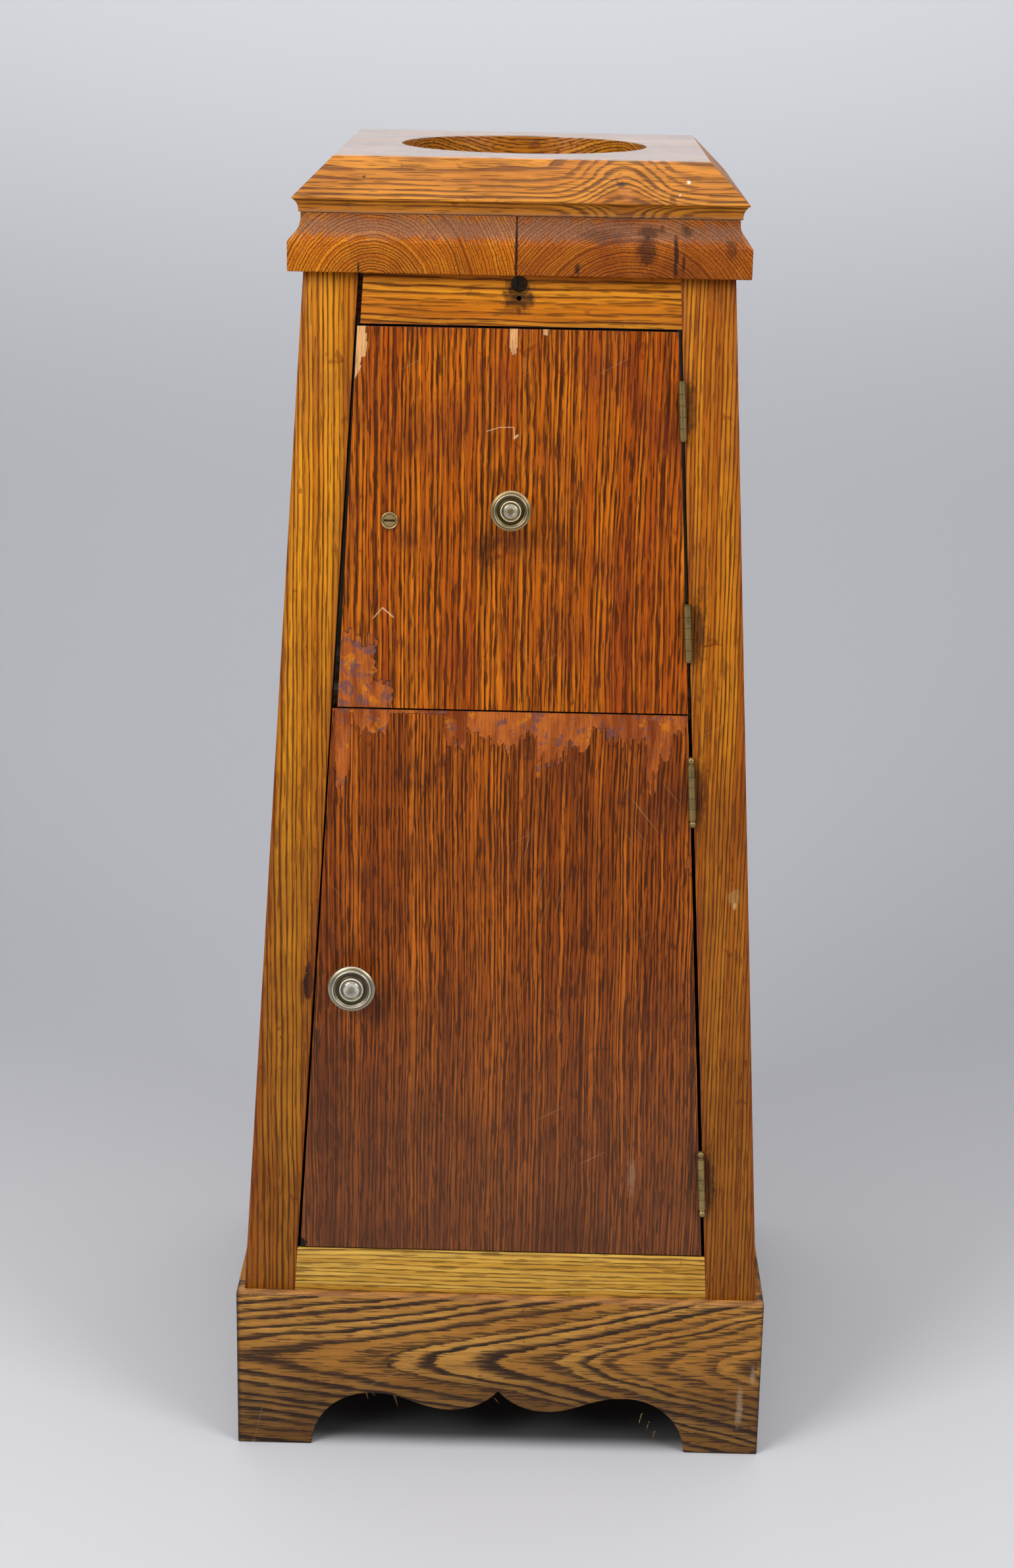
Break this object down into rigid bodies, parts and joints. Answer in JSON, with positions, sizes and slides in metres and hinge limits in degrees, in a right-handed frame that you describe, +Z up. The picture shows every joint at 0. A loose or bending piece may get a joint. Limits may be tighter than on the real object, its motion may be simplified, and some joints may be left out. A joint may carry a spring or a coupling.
{
  "type": "icebox",
  "caption": "Tapered oak icebox cabinet on a bracket-foot plinth, with two hinged doors, turned knobs and a moulded cap with a round mouth.",
  "frame": {"origin": "middle of the footprint, at the floor", "axes": "+Z up, -Y towards the doors, +X to the viewer's right, where the hinges are"},
  "size_m": [0.441, 0.444, 1.066],
  "materials": {
    "oak_frame": "aged varnish, golden oak",
    "oak_cap": "aged varnish, orange oak",
    "oak_plinth": "aged varnish, bold figure",
    "door_veneer": "dark striped veneer, worn varnish",
    "door_core": "bare substrate wood",
    "inner_wood": "bare inner wood",
    "packing": "felted packing",
    "zinc": "dull zinc sheet",
    "brass": "aged brass",
    "steel": "dull iron"
  },
  "bodies": {
    "cabinet": {"cap_lower_left_board": "oak_cap", "cap_lower_right_board": "oak_cap", "cap_upper_front_board": "oak_cap", "cap_upper_back_board": "oak_cap", "plinth_front_board": "oak_plinth", "plinth_back_board": "oak_plinth", "plinth_left_board": "oak_plinth", "plinth_right_board": "oak_plinth", "plinth_corner_blocks": "inner_wood", "left_stile": "oak_frame", "right_stile": "oak_frame", "top_rail": "oak_frame", "bottom_rail": "oak_frame", "left_side_panel": "oak_frame", "right_side_panel": "oak_frame", "back_panel": "oak_frame", "floor_board": "inner_wood", "divider_shelf": "inner_wood", "ice_chamber_lining": "zinc", "food_chamber_lining": "zinc", "ice_chamber_insulation": "packing", "food_chamber_insulation": "packing", "floor_insulation": "packing", "ice_rack_runners": "inner_wood", "ice_rack_slats": "inner_wood", "drain_pipe": "zinc", "drip_pan": "zinc", "latch_strike_plate": "steel", "upper_hinge_stile_leaves": "brass", "upper_hinge_pins": "brass", "lower_hinge_stile_leaves": "brass", "lower_hinge_pins": "brass", "hinge_stile_screws": "brass"},
    "upper_door": {"upper_door_core": "door_core", "upper_door_veneer": "door_veneer", "upper_door_inner_panel": "inner_wood", "upper_door_knob": "brass", "upper_knob_screw": "steel", "lock_housing": "brass", "lock_nut": "brass", "upper_hinge_door_leaves": "brass", "upper_hinge_door_screws": "brass"},
    "lock": {"lock_plug": "brass", "lock_arm": "steel"},
    "lower_door": {"lower_door_core": "door_core", "lower_door_veneer": "door_veneer", "lower_door_inner_panel": "inner_wood", "lower_hinge_door_leaves": "brass", "lower_hinge_door_screws": "brass"},
    "latch": {"lower_door_knob": "brass", "latch_arm": "steel", "latch_nut": "steel"}
  },
  "joints": [
    {"name": "upper_door_hinge", "type": "hinge", "parent": "cabinet", "child": "upper_door", "pos_m": [0.13239, -0.17918, 0.79397], "axis": [-0.0584, 0.0584, 0.9966], "range_deg": [0, 160]},
    {"name": "lower_door_hinge", "type": "hinge", "parent": "cabinet", "child": "lower_door", "pos_m": [0.15473, -0.20153, 0.41287], "axis": [-0.0584, 0.0584, 0.9966], "range_deg": [0, 160]},
    {"name": "lock_turn", "type": "hinge", "parent": "upper_door", "child": "lock", "pos_m": [-0.09755, -0.17595, 0.791], "axis": [0, 0.9983, -0.0585], "range_deg": [0, 90]},
    {"name": "latch_turn", "type": "hinge", "parent": "lower_door", "child": "latch", "pos_m": [-0.12402, -0.19802, 0.4145], "axis": [0, 0.9983, -0.0585], "range_deg": [0, 90]}
  ]
}
